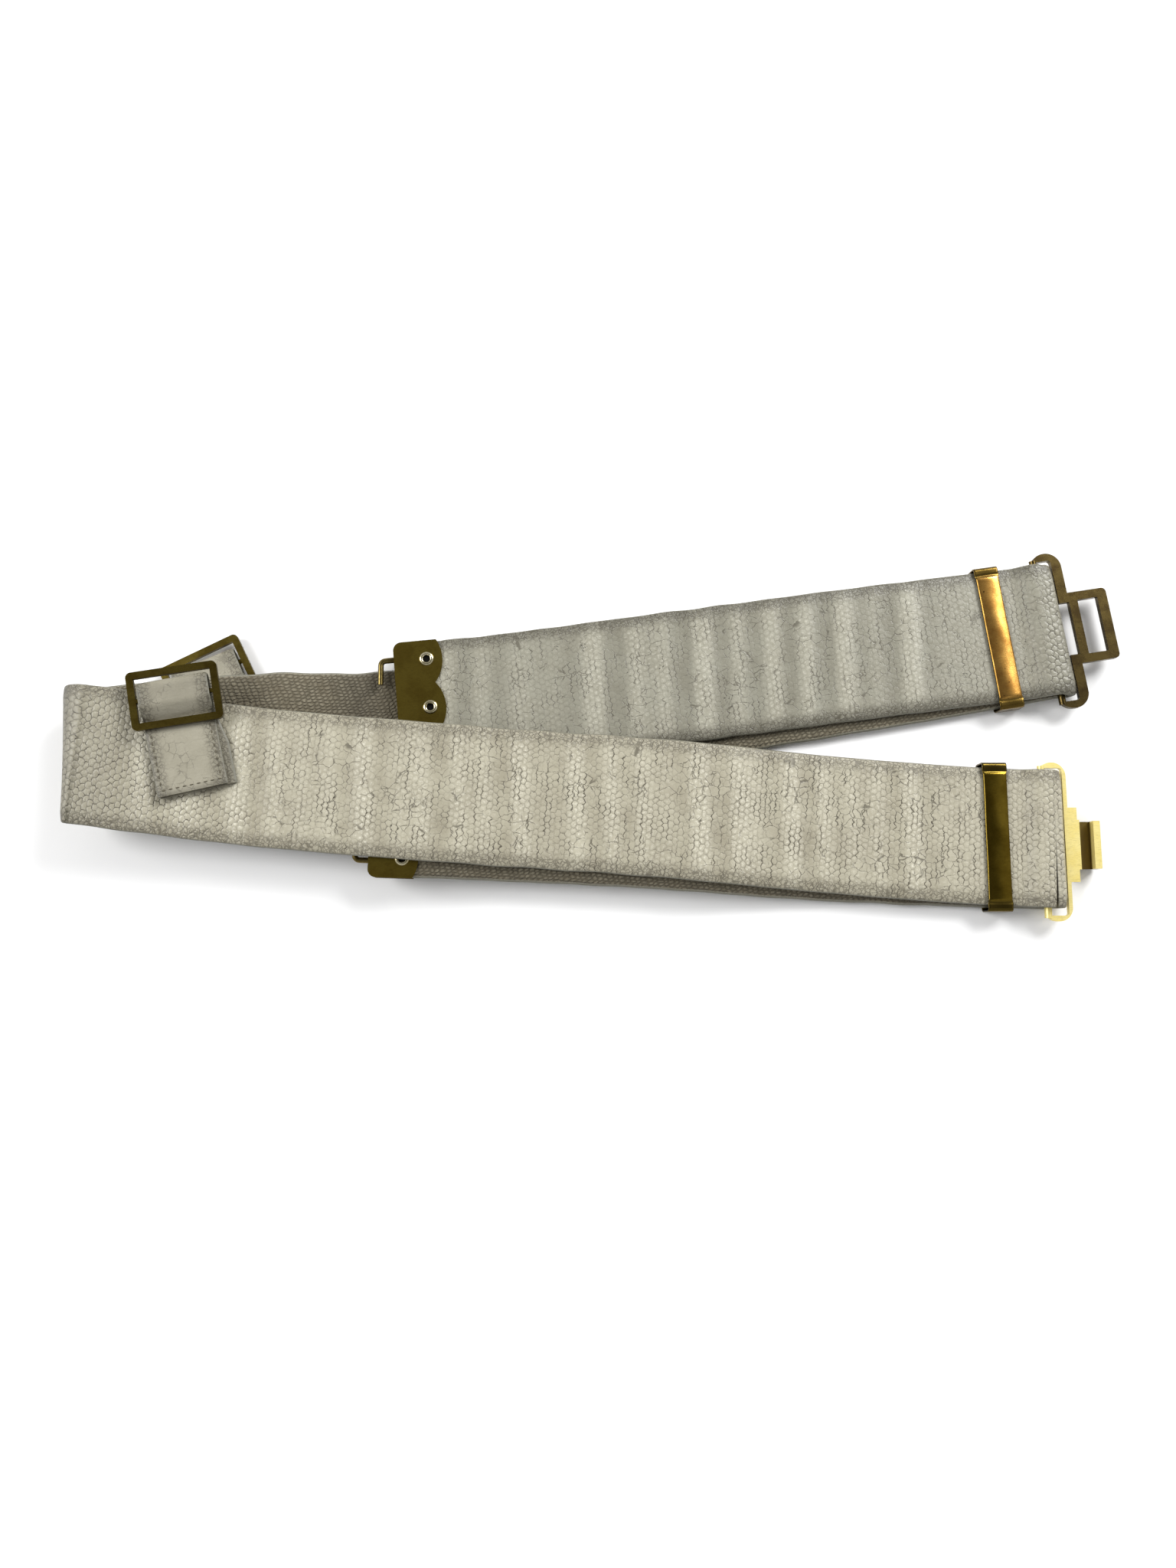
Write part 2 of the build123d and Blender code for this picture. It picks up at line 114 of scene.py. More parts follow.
def steps(start, end, step):
    count = max(2, int(abs(end - start) / step) + 1)
    return np.linspace(start, end, count)


def strap_run(line, rise, start, end, step=1.5):
    """Rows of (x, y, z, heading) of a strap's centre line."""
    rows = []
    for x in steps(start, end, step):
        y, turn = curve(line, x)
        rows.append((x, y, curve(rise, x)[0], math.degrees(math.atan(turn))))
    return rows


def fold_run(line, start, end):
    middle_x = FOLD_X + FOLD_RADIUS
    middle_z = (FOLD_LOW + FOLD_HIGH) / 2
    rear = math.degrees(math.atan(curve(REAR_LINE, middle_x)[1]))
    front = math.degrees(math.atan(curve(FRONT_LINE, middle_x)[1]))
    rows = []
    for turn in np.linspace(start, end, 15):
        a = math.radians(turn)
        x = middle_x - FOLD_RADIUS * math.sin(a)
        z = middle_z - FOLD_RADIUS * math.cos(a)
        lean = FOLD_LEAN * math.sin(a)
        rows.append((x, curve(line, x)[0], z, rear + (front - rear) * turn / 180 + lean))
    return rows


def wrap_run(clasp, reach, over):
    x, y, heading = clasp
    h = math.radians(heading)
    rows = []
    for turn in np.linspace(0, 180, 25):
        a = math.radians(turn)
        side = reach + WRAP_RADIUS * math.sin(a)
        lift = -WRAP_RADIUS * math.cos(a) * (-1 if over else 1)
        rows.append((x + side * math.cos(h), y + side * math.sin(h), CLASP_Z + lift, heading))
    return rows


def smoothed(values, width):
    pad = np.pad(values, (width, width), mode="reflect", reflect_type="odd")
    kernel = np.ones(2 * width + 1) / (2 * width + 1)
    return np.convolve(pad, kernel, mode="valid")


def ripple(s, seed, pitch):
    """Slow irregular wave along a strap, from -1 to 1."""
    rng = np.random.default_rng(seed)
    total = np.zeros_like(s)
    for k in range(5):
        total += np.sin(2 * np.pi * s / (pitch * rng.uniform(0.7, 1.5)) + rng.uniform(0, 6.3))
    return total / 3.2


# ---------------------------------------------------------------- meshes

def make_object(name, points, faces, materials, face_slots=None, smooth=True):
    mesh = bpy.data.meshes.new(name)
    mesh.from_pydata((np.asarray(points) * MM).tolist(), [], faces)
    for m in materials:
        mesh.materials.append(m)
    if face_slots is not None:
        mesh.polygons.foreach_set("material_index", np.asarray(face_slots, dtype=np.int32))
    mesh.polygons.foreach_set("use_smooth", np.full(len(mesh.polygons), smooth))
    mesh.update()
    obj = bpy.data.objects.new(name, mesh)
    bpy.context.collection.objects.link(obj)
    return obj


def set_attribute(obj, name, values):
    data = obj.data.attributes.new(name, "FLOAT", "POINT")
    data.data.foreach_set("value", np.asarray(values, dtype=np.float32))


def set_uv(obj, uv):
    layer = obj.data.uv_layers.new(name="UVMap")
    index = np.empty(len(obj.data.loops), dtype=np.int32)
    obj.data.loops.foreach_get("vertex_index", index)
    layer.data.foreach_set("uv", np.asarray(uv, dtype=np.float32)[index].ravel())


def frames(rows, smooth_width=6):
    """Centres, across, normal and arc length of a strap's rows."""
    rows = np.asarray(rows, dtype=float)
    keep = np.concatenate([[True], np.linalg.norm(np.diff(rows[:, :3], axis=0), axis=1) > 0.05])
    rows = rows[keep]
    centre = rows[:, :3]
    heading = np.radians(smoothed(rows[:, 3], smooth_width))
    tangent = np.gradient(centre, axis=0, edge_order=2)
    tangent /= np.linalg.norm(tangent, axis=1)[:, None]
    across = np.stack([-np.sin(heading), np.cos(heading), np.zeros(len(rows))], axis=1)
    normal = np.cross(tangent, across)
    normal /= np.linalg.norm(normal, axis=1)[:, None]
    s = np.concatenate([[0], np.cumsum(np.linalg.norm(np.diff(centre, axis=0), axis=1))])
    return centre, across, normal, s


def ribbon_profile(half, skin, outer_sign, edge, outer_count, inner_count, drop):
    """Cross-section loop: (v, n, part) with part 0 outer, 1 side, 2 inner."""
    flat = half - edge
    outer = np.linspace(-half + 0.55, half - 0.55, outer_count)
    over = np.clip((np.abs(outer) - flat) / edge, 0, 1)
    points = [(v, outer_sign * (skin - drop * o**2), 0) for v, o in zip(outer, over)]
    low = skin - drop
    side = [(half - 0.15, 0.66), (half, 0.30), (half + 0.02, -0.15), (half - 0.10, -0.6)]
    side.append((half - 0.45, -0.92))
    points += [(v, outer_sign * n * low, 1) for v, n in side]
    inner = np.linspace(half - 0.95, -half + 0.95, inner_count)
    under = np.clip((np.abs(inner) - flat) / edge, 0, 1)
    points += [(v, -outer_sign * (skin - 0.5 * drop * o**2), 2) for v, o in zip(inner, under)]
    points += [(-v, outer_sign * n * low, 1) for v, n in side[::-1]]
    return points


def ribbon(name, rows, outer_sign, materials, half=WEB_HALF, skin=WEB_SKIN, edge=6.0, drop=0.75,
           wave=0.42, seed=1, pitch=WAVE_PITCH, counts=(53, 29), caps=True, flare=None):
    """Flat strap swept along rows.  Returns the object, and s, v and place of every vertex.

    The outer face has a slow wave that dies out near the fold, the keepers and the
    end of the strap.  flare widens one half of each row, as a share of its width.
    """
    centre, across, normal, s = rows if isinstance(rows, tuple) else frames(rows)
    profile = ribbon_profile(half, skin, outer_sign, edge, counts[0], counts[1], drop)
    pv = np.array([p[0] for p in profile])
    pn = np.array([p[1] for p in profile])
    part = np.array([p[2] for p in profile])
    x = centre[:, 0]
    calm = np.clip((150 - x) / 12, 0.12, 1) * np.clip((x + 209) / 12, 0, 1) * np.clip((s[-1] - s) / 30, 0, 1)
    lift = wave * calm * ripple(s, seed, pitch)
    sway = wave * calm * ripple(s, seed + SWAY_SEED, SWAY_PITCH)
    skewed = np.interp(s[:, None] + 0.10 * pv[None, :], s, lift)
    fade = 1 - 0.75 * np.clip(np.abs(pv) / half, 0, 1) ** 4
    rise = skewed * (fade * (part == 0) * outer_sign)[None, :]
    v = pv[None, :] + 0.5 * sway[:, None] * (np.abs(pv) / half)[None, :]
    if flare is not None:
        v = v * (1 + flare[:, None] * (pv * outer_sign > 0)[None, :])
    n = pn[None, :] + rise
    points = centre[:, None, :] + across[:, None, :] * v[:, :, None] + normal[:, None, :] * n[:, :, None]
    points = points.reshape(-1, 3) + SHIFT
    points[:, 2] = np.maximum(points[:, 2], TABLE_GAP)
    rows_n, cols = len(s), len(profile)
    i, j = np.meshgrid(np.arange(rows_n - 1), np.arange(cols), indexing="ij")
    k = (j + 1) % cols
    here, there = i * cols, (i + 1) * cols
    quads = np.stack([here + j, here + k, there + k, there + j], axis=-1).reshape(-1, 4)
    inner = (part[j.ravel()] == 2) & (part[k.ravel()] == 2)
    slots = np.where(inner, 1, 0).tolist()
    if outer_sign > 0:
        quads = quads[:, ::-1]
    faces = quads.tolist()
    if caps:
        faces += [list(range(cols)), list(range((rows_n - 1) * cols, rows_n * cols))[::-1]]
        slots += [0, 0]
    obj = make_object(name, points, faces, materials, slots)
    around = np.tile(pv, rows_n)
    outward = np.tile(np.where(part == 1, pn * 1.2, 0), rows_n)
    set_uv(obj, np.stack([np.repeat(s, cols), around + outward], axis=1) * UV_PER_MM)
    set_attribute(obj, "side", np.tile(np.where(part == 1, 1.0, 0.0), rows_n))
    wave_top = max(wave, 0.01)
    set_attribute(obj, "crest", (0.5 + 0.5 * skewed * fade[None, :] / wave_top).ravel())
    set_attribute(obj, "rim", np.clip((np.abs(around) - (half - 6.5)) / 3.0, 0, 1))
    return obj, np.repeat(s, cols), around, points


# ---------------------------------------------------------------- shader nodes

class Shade:
    """Short way to write a material's nodes."""

    def __init__(self, name):
        self.material = bpy.data.materials.new(name)
        self.material.use_nodes = True
        self.tree = self.material.node_tree
        self.bsdf = self.tree.nodes["Principled BSDF"]

    def put(self, value, socket):
        if isinstance(value, bpy.types.NodeSocket):
            self.tree.links.new(value, socket)
        elif isinstance(value, (tuple, list)) and socket.type == "RGBA" and len(value) == 3:
            socket.default_value = (*value, 1)
        else:
            socket.default_value = value

    def node(self, kind, inputs=(), out=0, **settings):
        made = self.tree.nodes.new(kind)
        for key, value in settings.items():
            setattr(made, key, value)
        for key, value in dict(inputs).items():
            self.put(value, made.inputs[key])
        return made.outputs[out]

    def math(self, operation, a, b=0.0, clamp=False):
        return self.node("ShaderNodeMath", {0: a, 1: b}, operation=operation, use_clamp=clamp)

    def add(self, a, b):
        return self.math("ADD", a, b)

    def mul(self, a, b):
        return self.math("MULTIPLY", a, b)

    def flip(self, a):
        return self.math("SUBTRACT", 1.0, a)

    def step(self, value, low, high):
        """0 under low, 1 over high, smooth between."""
        return self.node("ShaderNodeMapRange", {"Value": value, "From Min": low, "From Max": high},
                         interpolation_type="SMOOTHSTEP")

    def scale(self, vector, by):
        return self.node("ShaderNodeVectorMath", {0: vector, 1: by}, operation="MULTIPLY")

    def vadd(self, a, b):
        return self.node("ShaderNodeVectorMath", {0: a, 1: b}, operation="ADD")

    def split(self, vector):
        made = self.tree.nodes.new("ShaderNodeSeparateXYZ")
        self.put(vector, made.inputs[0])
        return made.outputs

    def join(self, x, y, z=0.0):
        return self.node("ShaderNodeCombineXYZ", {0: x, 1: y, 2: z})

    def noise(self, vector, size, detail=3.0, rough=0.55, out=0):
        """Cloudy noise from 0 to 1; size is in the vector's units."""
        return self.node("ShaderNodeTexNoise",
                         {"Vector": vector, "Scale": 1 / size, "Detail": detail, "Roughness": rough}, out=out)

    def edges(self, vector, random=1.0):
        """Distance to the nearest border of irregular cells, one unit across."""
        return self.node("ShaderNodeTexVoronoi", {"Vector": vector, "Scale": 1.0, "Randomness": random},
                         feature="DISTANCE_TO_EDGE")

    def blend(self, factor, a, b, mode="MIX"):
        made = self.tree.nodes.new("ShaderNodeMix")
        made.data_type = "RGBA"
        made.blend_type = mode
        self.put(factor, made.inputs[0])
        self.put(a, made.inputs[6])
        self.put(b, made.inputs[7])
        return made.outputs[2]

    def bump(self, height, depth, strength=1.0):
        return self.node("ShaderNodeBump", {"Height": height, "Distance": depth * MM, "Strength": strength})

    def surface(self, **inputs):
        names = {"color": "Base Color", "rough": "Roughness", "metal": "Metallic", "normal": "Normal",
                 "sheen": "Sheen Weight", "sheen_rough": "Sheen Roughness", "specular": "Specular IOR Level"}
        for key, value in inputs.items():
            self.put(value, self.bsdf.inputs[names[key]])
        return self.material

    def attribute(self, name):
        return self.node("ShaderNodeAttribute", attribute_name=name, out=2)

    def strap_mm(self):
        uv = self.node("ShaderNodeTexCoord", out=2)
        return self.scale(uv, (1 / UV_PER_MM,) * 3)

    def object_mm(self):
        return self.scale(self.node("ShaderNodeTexCoord", out=3), (1 / MM,) * 3)


def rgb(r, g, b):
    """Linear colour from the usual 0 to 255 numbers."""
    def one(c):
        c = c / 255
        return c / 12.92 if c <= 0.04045 else ((c + 0.055) / 1.055) ** 2.4
    return one(r), one(g), one(b)


COLUMN_PITCH = 2.2
COLUMN_CELL = 2.7
ROOT3 = math.sqrt(3)
FAR_CELLS = 500.0


def hexes(sh, at, along, over):
    """Distance to the border of staggered six-sided cells, 0 to 0.5.

    along and over are a cell's sizes along and across the strap.  FAR_CELLS keeps
    the repeat on the positive side of zero.
    """
    parts = sh.split(at)
    across = sh.add(sh.mul(parts[1], 1 / over), FAR_CELLS)
    spot = sh.join(across, sh.add(sh.mul(parts[0], ROOT3 / 2 / along), FAR_CELLS * ROOT3))
    period = (1.0, ROOT3, 1.0)
    half = (0.5, ROOT3 / 2, 0.0)

    def fold_in(place):
        wrapped = sh.node("ShaderNodeVectorMath", {0: place, 1: period}, operation="MODULO")
        return sh.node("ShaderNodeVectorMath", {0: wrapped, 1: half}, operation="SUBTRACT")

    def dot(a, b):
        return sh.node("ShaderNodeVectorMath", {0: a, 1: b}, out=1, operation="DOT_PRODUCT")

    a = fold_in(spot)
    b = fold_in(sh.vadd(spot, half))
    nearer = sh.math("LESS_THAN", dot(a, a), dot(b, b))
    gap = sh.node("ShaderNodeVectorMath", {0: a, 1: b}, operation="SUBTRACT")
    scaled = sh.node("ShaderNodeVectorMath", {0: gap, "Scale": nearer}, operation="SCALE")
    chosen = sh.node("ShaderNodeVectorMath", {0: sh.vadd(scaled, b)}, operation="ABSOLUTE")
    slanted = dot(chosen, half)
    straight = dot(chosen, (1.0, 0.0, 0.0))
    return sh.math("SUBTRACT", 0.5, sh.math("MAXIMUM", slanted, straight))


# Dark tone for dirt and for painted shade.
DIRT_AND_SHADE = rgb(50, 46, 36)
CRACK = rgb(60, 54, 41)
SPECK = rgb(46, 44, 38)
# Pale tone for rubbed flecks, and for the painted highlight on the wave's crests.
RUBBED_AND_HIGHLIGHT = rgb(206, 202, 184)
# Near-white tone for painted glints: highlights on the bead tops.
GLINT_HIGHLIGHT = rgb(238, 235, 220)
# Greys for the painted shade on the strap's side faces.
SIDE_SHADE_DEEP = rgb(92, 91, 80)
SIDE_SHADE_PALE = rgb(122, 119, 105)


def warped(sh, at):
    """The strap's coordinates, bent a little so that no line of cells is straight."""
    wobble = sh.vadd(sh.noise(at, 4.0, 3, out=1), (-0.5, -0.5, -0.5))
    jitter = sh.vadd(sh.noise(sh.vadd(at, (19.0, 7.0, 0.0)), 1.5, 2, out=1), (-0.5, -0.5, -0.5))
    bent = sh.vadd(at, sh.scale(wobble, (2.6, 2.2, 0.0)))
    return sh.vadd(bent, sh.scale(jitter, (1.1, 1.4, 0.0)))


def wavy_lines(sh, bent, border):
    """Borders between some columns of cells, as long lines across the strap."""
    parts = sh.split(bent)
    column = sh.mul(parts[0], 1 / COLUMN_PITCH)
    inside = sh.math("FRACT", column)
    upright = sh.step(sh.math("MINIMUM", inside, sh.flip(inside)), 0.22, 0.34)
    key = sh.join(sh.mul(sh.math("FLOOR", column), 7.3), sh.mul(parts[1], 0.07), 2.0)
    return sh.mul(border, upright), sh.step(sh.noise(key, 1.0, 2), 0.47, 0.60)


def loose_net(sh, bent, sizes, random, low, high):
    """Thin borders of irregular cells of the given sizes."""
    cells = sh.edges(sh.scale(bent, (1 / sizes[0], 1 / sizes[1], 1.0)), random)
    return sh.flip(sh.step(cells, low, high))


def paint_lines(sh, at, bent, patches, beaded, bead, column, amount):
    """All dark lines in the paint: round beads, columns, wavy lines, net and rim."""
    plain = sh.flip(beaded)
    faint = sh.noise(sh.vadd(at, (11.0, 53.0, 0.0)), 3.2, 2)
    strength = sh.add(0.35, sh.mul(sh.step(faint, 0.35, 0.65), 0.65))
    columned = sh.mul(sh.step(patches, 0.40, 0.58), sh.mul(plain, amount[0]))
    border = sh.flip(sh.step(column, 0.02, 0.10))
    upright, strong = wavy_lines(sh, bent, border)
    net = sh.mul(loose_net(sh, bent, (4.2, 3.6), 0.8, 0.008, 0.040), sh.step(sh.flip(patches), 0.46, 0.60))
    rim = sh.mul(loose_net(sh, bent, (1.7, 1.5), 0.9, 0.02, 0.13), sh.attribute("rim"))
    lines = sh.mul(sh.flip(sh.step(bead, 0.015, 0.085)), sh.mul(beaded, strength))
    for more in (sh.mul(border, sh.mul(columned, strength)),
                 sh.mul(upright, sh.mul(strong, sh.mul(plain, amount[1]))),
                 sh.mul(sh.mul(net, plain), amount[2]),
                 sh.mul(rim, 0.65)):
        lines = sh.math("MAXIMUM", lines, more)
    return sh.mul(lines, sh.flip(sh.attribute("side"))), columned


def paint_specks(sh, at):
    """Small dark specks in a few clusters."""
    where = sh.step(sh.noise(sh.vadd(at, (90.0, 41.0, 0.0)), 8.0, 2), 0.58, 0.68)
    return sh.mul(sh.step(sh.noise(sh.vadd(at, (7.0, 3.0, 0.0)), 0.7, 2, 0.5), 0.58, 0.66), where)


def painted_web(name, light, dark, deep_and_shade, amount, gloss=0.46):
    """Old off-white paint over webbing: fine cells, transverse cracks, dirt, painted highlights on the wave's
    crests and bead tops, and painted shade in the troughs, round the fold and on the grey side faces.

    amount is how strong the columns of cells, the wavy lines, the crack net, the specks and the painted
    glints on the bead tops are.
    """
    sh = Shade(name)
    at = sh.strap_mm()
    bent = warped(sh, at)
    cloud = sh.noise(at, 15.0, 4, 0.6)
    patches = sh.noise(sh.vadd(at, (31.0, 17.0, 5.0)), 9.0, 3, 0.6)
    fine = sh.noise(at, 0.8, 4, 0.65)
    streaks = sh.noise(sh.scale(at, (1.0, 0.16, 1.0)), 0.8, 3, 0.6)
    crest = sh.step(sh.add(sh.attribute("crest"), sh.mul(cloud, 0.5)), 0.45, 1.15)
    bead = hexes(sh, bent, 2.15, 3.0)
    beaded = sh.step(sh.add(sh.mul(cloud, 0.7), sh.attribute("hex")), 0.62, 0.92)
    column = hexes(sh, bent, COLUMN_PITCH, COLUMN_CELL)
    lines, columned = paint_lines(sh, at, bent, patches, beaded, bead, column, amount)
    # glint marks a painted highlight: bead tops on the crests of the wave.
    glint = sh.mul(sh.step(column, 0.10, 0.36), sh.mul(sh.step(fine, 0.40, 0.65), crest))
    # painted shade: the side faces are made grey
    side_shade = sh.blend(sh.noise(at, 2.2, 3), SIDE_SHADE_DEEP, SIDE_SHADE_PALE)
    colour = sh.blend(sh.step(cloud, 0.32, 0.70), light, dark)
    for share, over in ((sh.mul(sh.step(streaks, 0.42, 0.80), 0.35), dark),
                        (sh.mul(sh.step(fine, 0.52, 0.85), 0.25), RUBBED_AND_HIGHLIGHT),
                        # painted highlight: lighter on the crests of the wave
                        (sh.mul(crest, 0.22), RUBBED_AND_HIGHLIGHT),
                        (sh.mul(glint, amount[4]), GLINT_HIGHLIGHT),
                        # painted shade: darker in the troughs of the wave
                        (sh.mul(sh.flip(crest), 0.14), deep_and_shade),
                        (sh.mul(sh.attribute("rim"), 0.35), deep_and_shade),
                        (sh.mul(lines, 0.92), CRACK),
                        (sh.mul(paint_specks(sh, at), amount[3]), SPECK),
                        # dirt, and painted shade round the fold and inside the buckle frame
                        (sh.attribute("dirt_and_shade"), DIRT_AND_SHADE),
                        (sh.attribute("side"), side_shade)):
        colour = sh.blend(share, colour, over)
    height = sh.mul(sh.mul(sh.step(bead, 0.0, 0.35), beaded), 0.8)
    for more in (sh.mul(sh.step(column, 0.0, 0.35), sh.mul(columned, 0.5)),
                 sh.mul(fine, 0.25),
                 sh.mul(streaks, 0.40),
                 sh.mul(lines, -0.5),
                 sh.mul(sh.noise(at, 3.4, 2), 0.9)):
        height = sh.add(height, more)
    rough = sh.add(gloss, sh.mul(sh.noise(at, 6.0, 3), 0.22))
    return sh.surface(color=colour, rough=rough, normal=sh.bump(height, 0.20), specular=0.45)


def bare_web(name):
    """Bare woven inner face: rice-grain bumps in slanting rows."""
    sh = Shade(name)
    at = sh.strap_mm()
    wobble = sh.vadd(sh.noise(at, 4.0, 2, out=1), (-0.5, -0.5, -0.5))
    bent = sh.vadd(at, sh.scale(wobble, (2.4, 2.4, 0.0)))
    turned = sh.node("ShaderNodeVectorRotate", {"Vector": bent, "Angle": 0.30}, rotation_type="Z_AXIS")
    grain = sh.step(hexes(sh, turned, 2.2, 1.5), 0.02, 0.34)
    faded = sh.step(sh.noise(sh.vadd(at, (5.0, 60.0, 0.0)), 5.0, 3, 0.6), 0.36, 0.62)
    shade = sh.mul(grain, sh.add(0.45, sh.mul(faded, 0.55)))
    cloud = sh.noise(at, 14.0, 4, 0.6)
    fine = sh.noise(at, 0.6, 4, 0.6)
    side = sh.attribute("side")
    colour = sh.blend(shade, rgb(88, 82, 67), rgb(134, 127, 109))
    colour = sh.blend(sh.mul(sh.step(cloud, 0.35, 0.75), 0.45), colour, rgb(104, 95, 77))
    colour = sh.blend(sh.mul(sh.step(fine, 0.5, 0.8), 0.35), colour, rgb(158, 151, 131))
    # painted shade: grey side faces
    colour = sh.blend(sh.mul(side, 0.7), colour, rgb(92, 91, 80))
    # dirt, and painted shade round the fold
    colour = sh.blend(sh.attribute("dirt_and_shade"), colour, rgb(46, 41, 33))
    height = sh.add(sh.mul(grain, 0.8), sh.mul(fine, 0.5))
    return sh.surface(color=colour, rough=0.85, normal=sh.bump(height, 0.45), sheen=0.15, specular=0.2)


def metal(name, main, worn, deep_and_shade, rough=(0.30, 0.48), spots=0.15, throat_shade=None, shine=1.0):
    """Old brass: cloudy patina, spots and fine scratches; some marked places are darkened as painted shade.

    throat_shade is the pair of heights between which a sunk surface turns dark, as painted shade in the clasp
    hook's throat.
    """
    sh = Shade(name)
    at = sh.object_mm()
    cloud = sh.noise(at, 7.0, 4, 0.62)
    fine = sh.noise(at, 0.8, 3, 0.6)
    scratch = sh.noise(sh.scale(at, (0.35, 2.2, 1.0)), 0.5, 3, 0.6)
    spot = sh.step(sh.noise(sh.vadd(at, (3.0, 9.0, 2.0)), 1.2, 2, 0.5), 0.68, 0.76)
    colour = sh.blend(sh.step(cloud, 0.34, 0.68), main, worn)
    # darker where marked: beyond a keeper's raised panel, and painted shade along its left edge
    colour = sh.blend(sh.mul(sh.attribute("tarnish_and_shade"), 0.92), colour, rgb(82, 69, 30))
    colour = sh.blend(sh.mul(spot, spots), colour, deep_and_shade)
    colour = sh.blend(sh.mul(sh.step(scratch, 0.45, 0.75), 0.25), colour, deep_and_shade)
    # painted shade: low, sunk surfaces turn dark
    if throat_shade is not None:
        sunk_shade = sh.flip(sh.step(sh.split(at)[2], throat_shade[0], throat_shade[1]))
        colour = sh.blend(sunk_shade, colour, deep_and_shade)
    roughness = sh.add(rough[0], sh.mul(sh.add(sh.mul(cloud, 0.6), sh.mul(fine, 0.4)), rough[1] - rough[0]))
    height = sh.add(sh.mul(fine, 0.5), sh.mul(scratch, 0.5))
    return sh.surface(color=colour, metal=shine, rough=roughness, normal=sh.bump(height, 0.03, 0.5))


PAINT = painted_web("PaintedWebbing", rgb(175, 170, 150), rgb(152, 146, 127), rgb(124, 118, 101),
                    (0.65, 1.0, 0.75, 0.10, 0.48), 0.34)
PAINT_A = painted_web("PaintedWebbingEndA", rgb(142, 140, 126), rgb(127, 124, 110), rgb(94, 91, 79),
                      (0.30, 0.75, 0.65, 0.95, 0.30), 0.26)
CHAPE = painted_web("PaintedChape", rgb(156, 151, 134), rgb(134, 129, 112), rgb(98, 94, 79),
                    (0.0, 0.15, 0.45, 0.25, 0.0), 0.38)
BARE = bare_web("BareWebbing")
TIP = metal("TipBrass", rgb(122, 106, 44), rgb(104, 88, 34), rgb(58, 46, 18), (0.24, 0.36), 0.1)
WIRE = metal("WireBrass", rgb(118, 104, 62), rgb(80, 68, 36), rgb(40, 33, 16), (0.22, 0.34))
EYELET = metal("EyeletBrass", rgb(214, 206, 176), rgb(160, 148, 108), rgb(70, 62, 36), (0.12, 0.28))
KEEP_A = metal("KeeperCopper", rgb(200, 154, 80), rgb(158, 114, 54), rgb(78, 54, 24), (0.20, 0.36), 0.85)
KEEP_B = metal("KeeperOlive", rgb(120, 100, 34), rgb(96, 78, 22), rgb(44, 34, 10), (0.16, 0.28), 0.2)
BRONZE = metal("ClaspBronze", rgb(94, 80, 46), rgb(66, 54, 32), rgb(36, 27, 15), (0.20, 0.34), 0.3)
# Only partly metallic, so the bright yellow shows as plain colour under any light: a painted reflection of a
# lamp on the hook's plate; throat_shade paints shade in its throat.
GOLD = metal("ClaspGold", rgb(244, 227, 150), rgb(238, 218, 132), rgb(92, 74, 22), (0.30, 0.42), 0.05,
             throat_shade=(3.4, 4.8), shine=0.45)
BUCKLE = metal("BuckleBrass", rgb(108, 94, 42), rgb(82, 68, 26), rgb(34, 27, 10), (0.22, 0.36), 0.3)


# A dark sheet for the painted shade inside the eyelets' bores.
def bore_shade_material():
    sh = Shade("EyeletBoreShade")
    return sh.surface(color=rgb(14, 13, 11), rough=0.9, specular=0.1)


BORE_SHADE = bore_shade_material()


def thread_material():
    sh = Shade("SewingThread")
    at = sh.object_mm()
    twist = sh.noise(at, 0.5, 2)
    colour = sh.blend(twist, rgb(104, 98, 80), rgb(66, 60, 47))
    return sh.surface(color=colour, rough=0.8, normal=sh.bump(twist, 0.1, 0.6))


THREAD = thread_material()

# ---------------------------------------------------------------- straps


def near(values, centre, width):
    return np.exp(-((values - centre) / width) ** 2)


def strap_marks(obj, hexed, dirt_and_shade):
    """Where the paint is beaded like a honeycomb, and where it is darker: dirt, and painted shade round the
    fold and inside a buckle frame.
    """
    set_attribute(obj, "hex", np.clip(hexed, 0, 1))
    set_attribute(obj, "dirt_and_shade", np.clip(dirt_and_shade, 0, 1))


def build_rear():
    """Strap from under clasp A's bar to the middle of the fold."""
    rows = [wrap_run(CLASP_A, WRAP_A, False)[0]]
    rows += strap_run(REAR_LINE, REAR_RISE, CLASP_A[0] + WRAP_A - 0.6, FOLD_X + FOLD_RADIUS)
    rows += fold_run(REAR_LINE, 0, 90)
    obj, _, _, places = ribbon("strap_rear", rows, 1, [PAINT, BARE], seed=3, caps=False)
    x = places[:, 0] - SHIFT[0]
    # painted shade round the fold's bend at the left; darker near x = -95
    strap_marks(obj, near(x, -214, 60), 0.4 * near(x, -95, 12) + 0.72 * near(x, -222, 10))
    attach(obj, "belt")
    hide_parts("webbing_rear")


def build_front():
    """Strap from the middle of the fold to the top of clasp B's bar."""
    rows = fold_run(FRONT_LINE, 90, 180)
    rows += strap_run(FRONT_LINE, FRONT_RISE, FOLD_X + FOLD_RADIUS, STRAP_AT_B[0] + WRAP_B)
    obj, _, _, places = ribbon("strap_front", rows, 1, [PAINT, BARE], seed=5, pitch=17.0, caps=False)
    x = places[:, 0] - SHIFT[0]
    hexed = 0.95 * near(x, -214, 82) + 0.9 * near(x, 198, 13) + 0.25 * near(x, -60, 40)
    # painted shade round the fold's bend; a little darker at clasp B's bar
    dirt_and_shade = 0.72 * near(x, -222, 10) + 0.26 * near(x, -205, 26) + 0.15 * near(x, 198, 5)
    strap_marks(obj, hexed, dirt_and_shade)
    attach(obj, "belt")
    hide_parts("webbing_front")


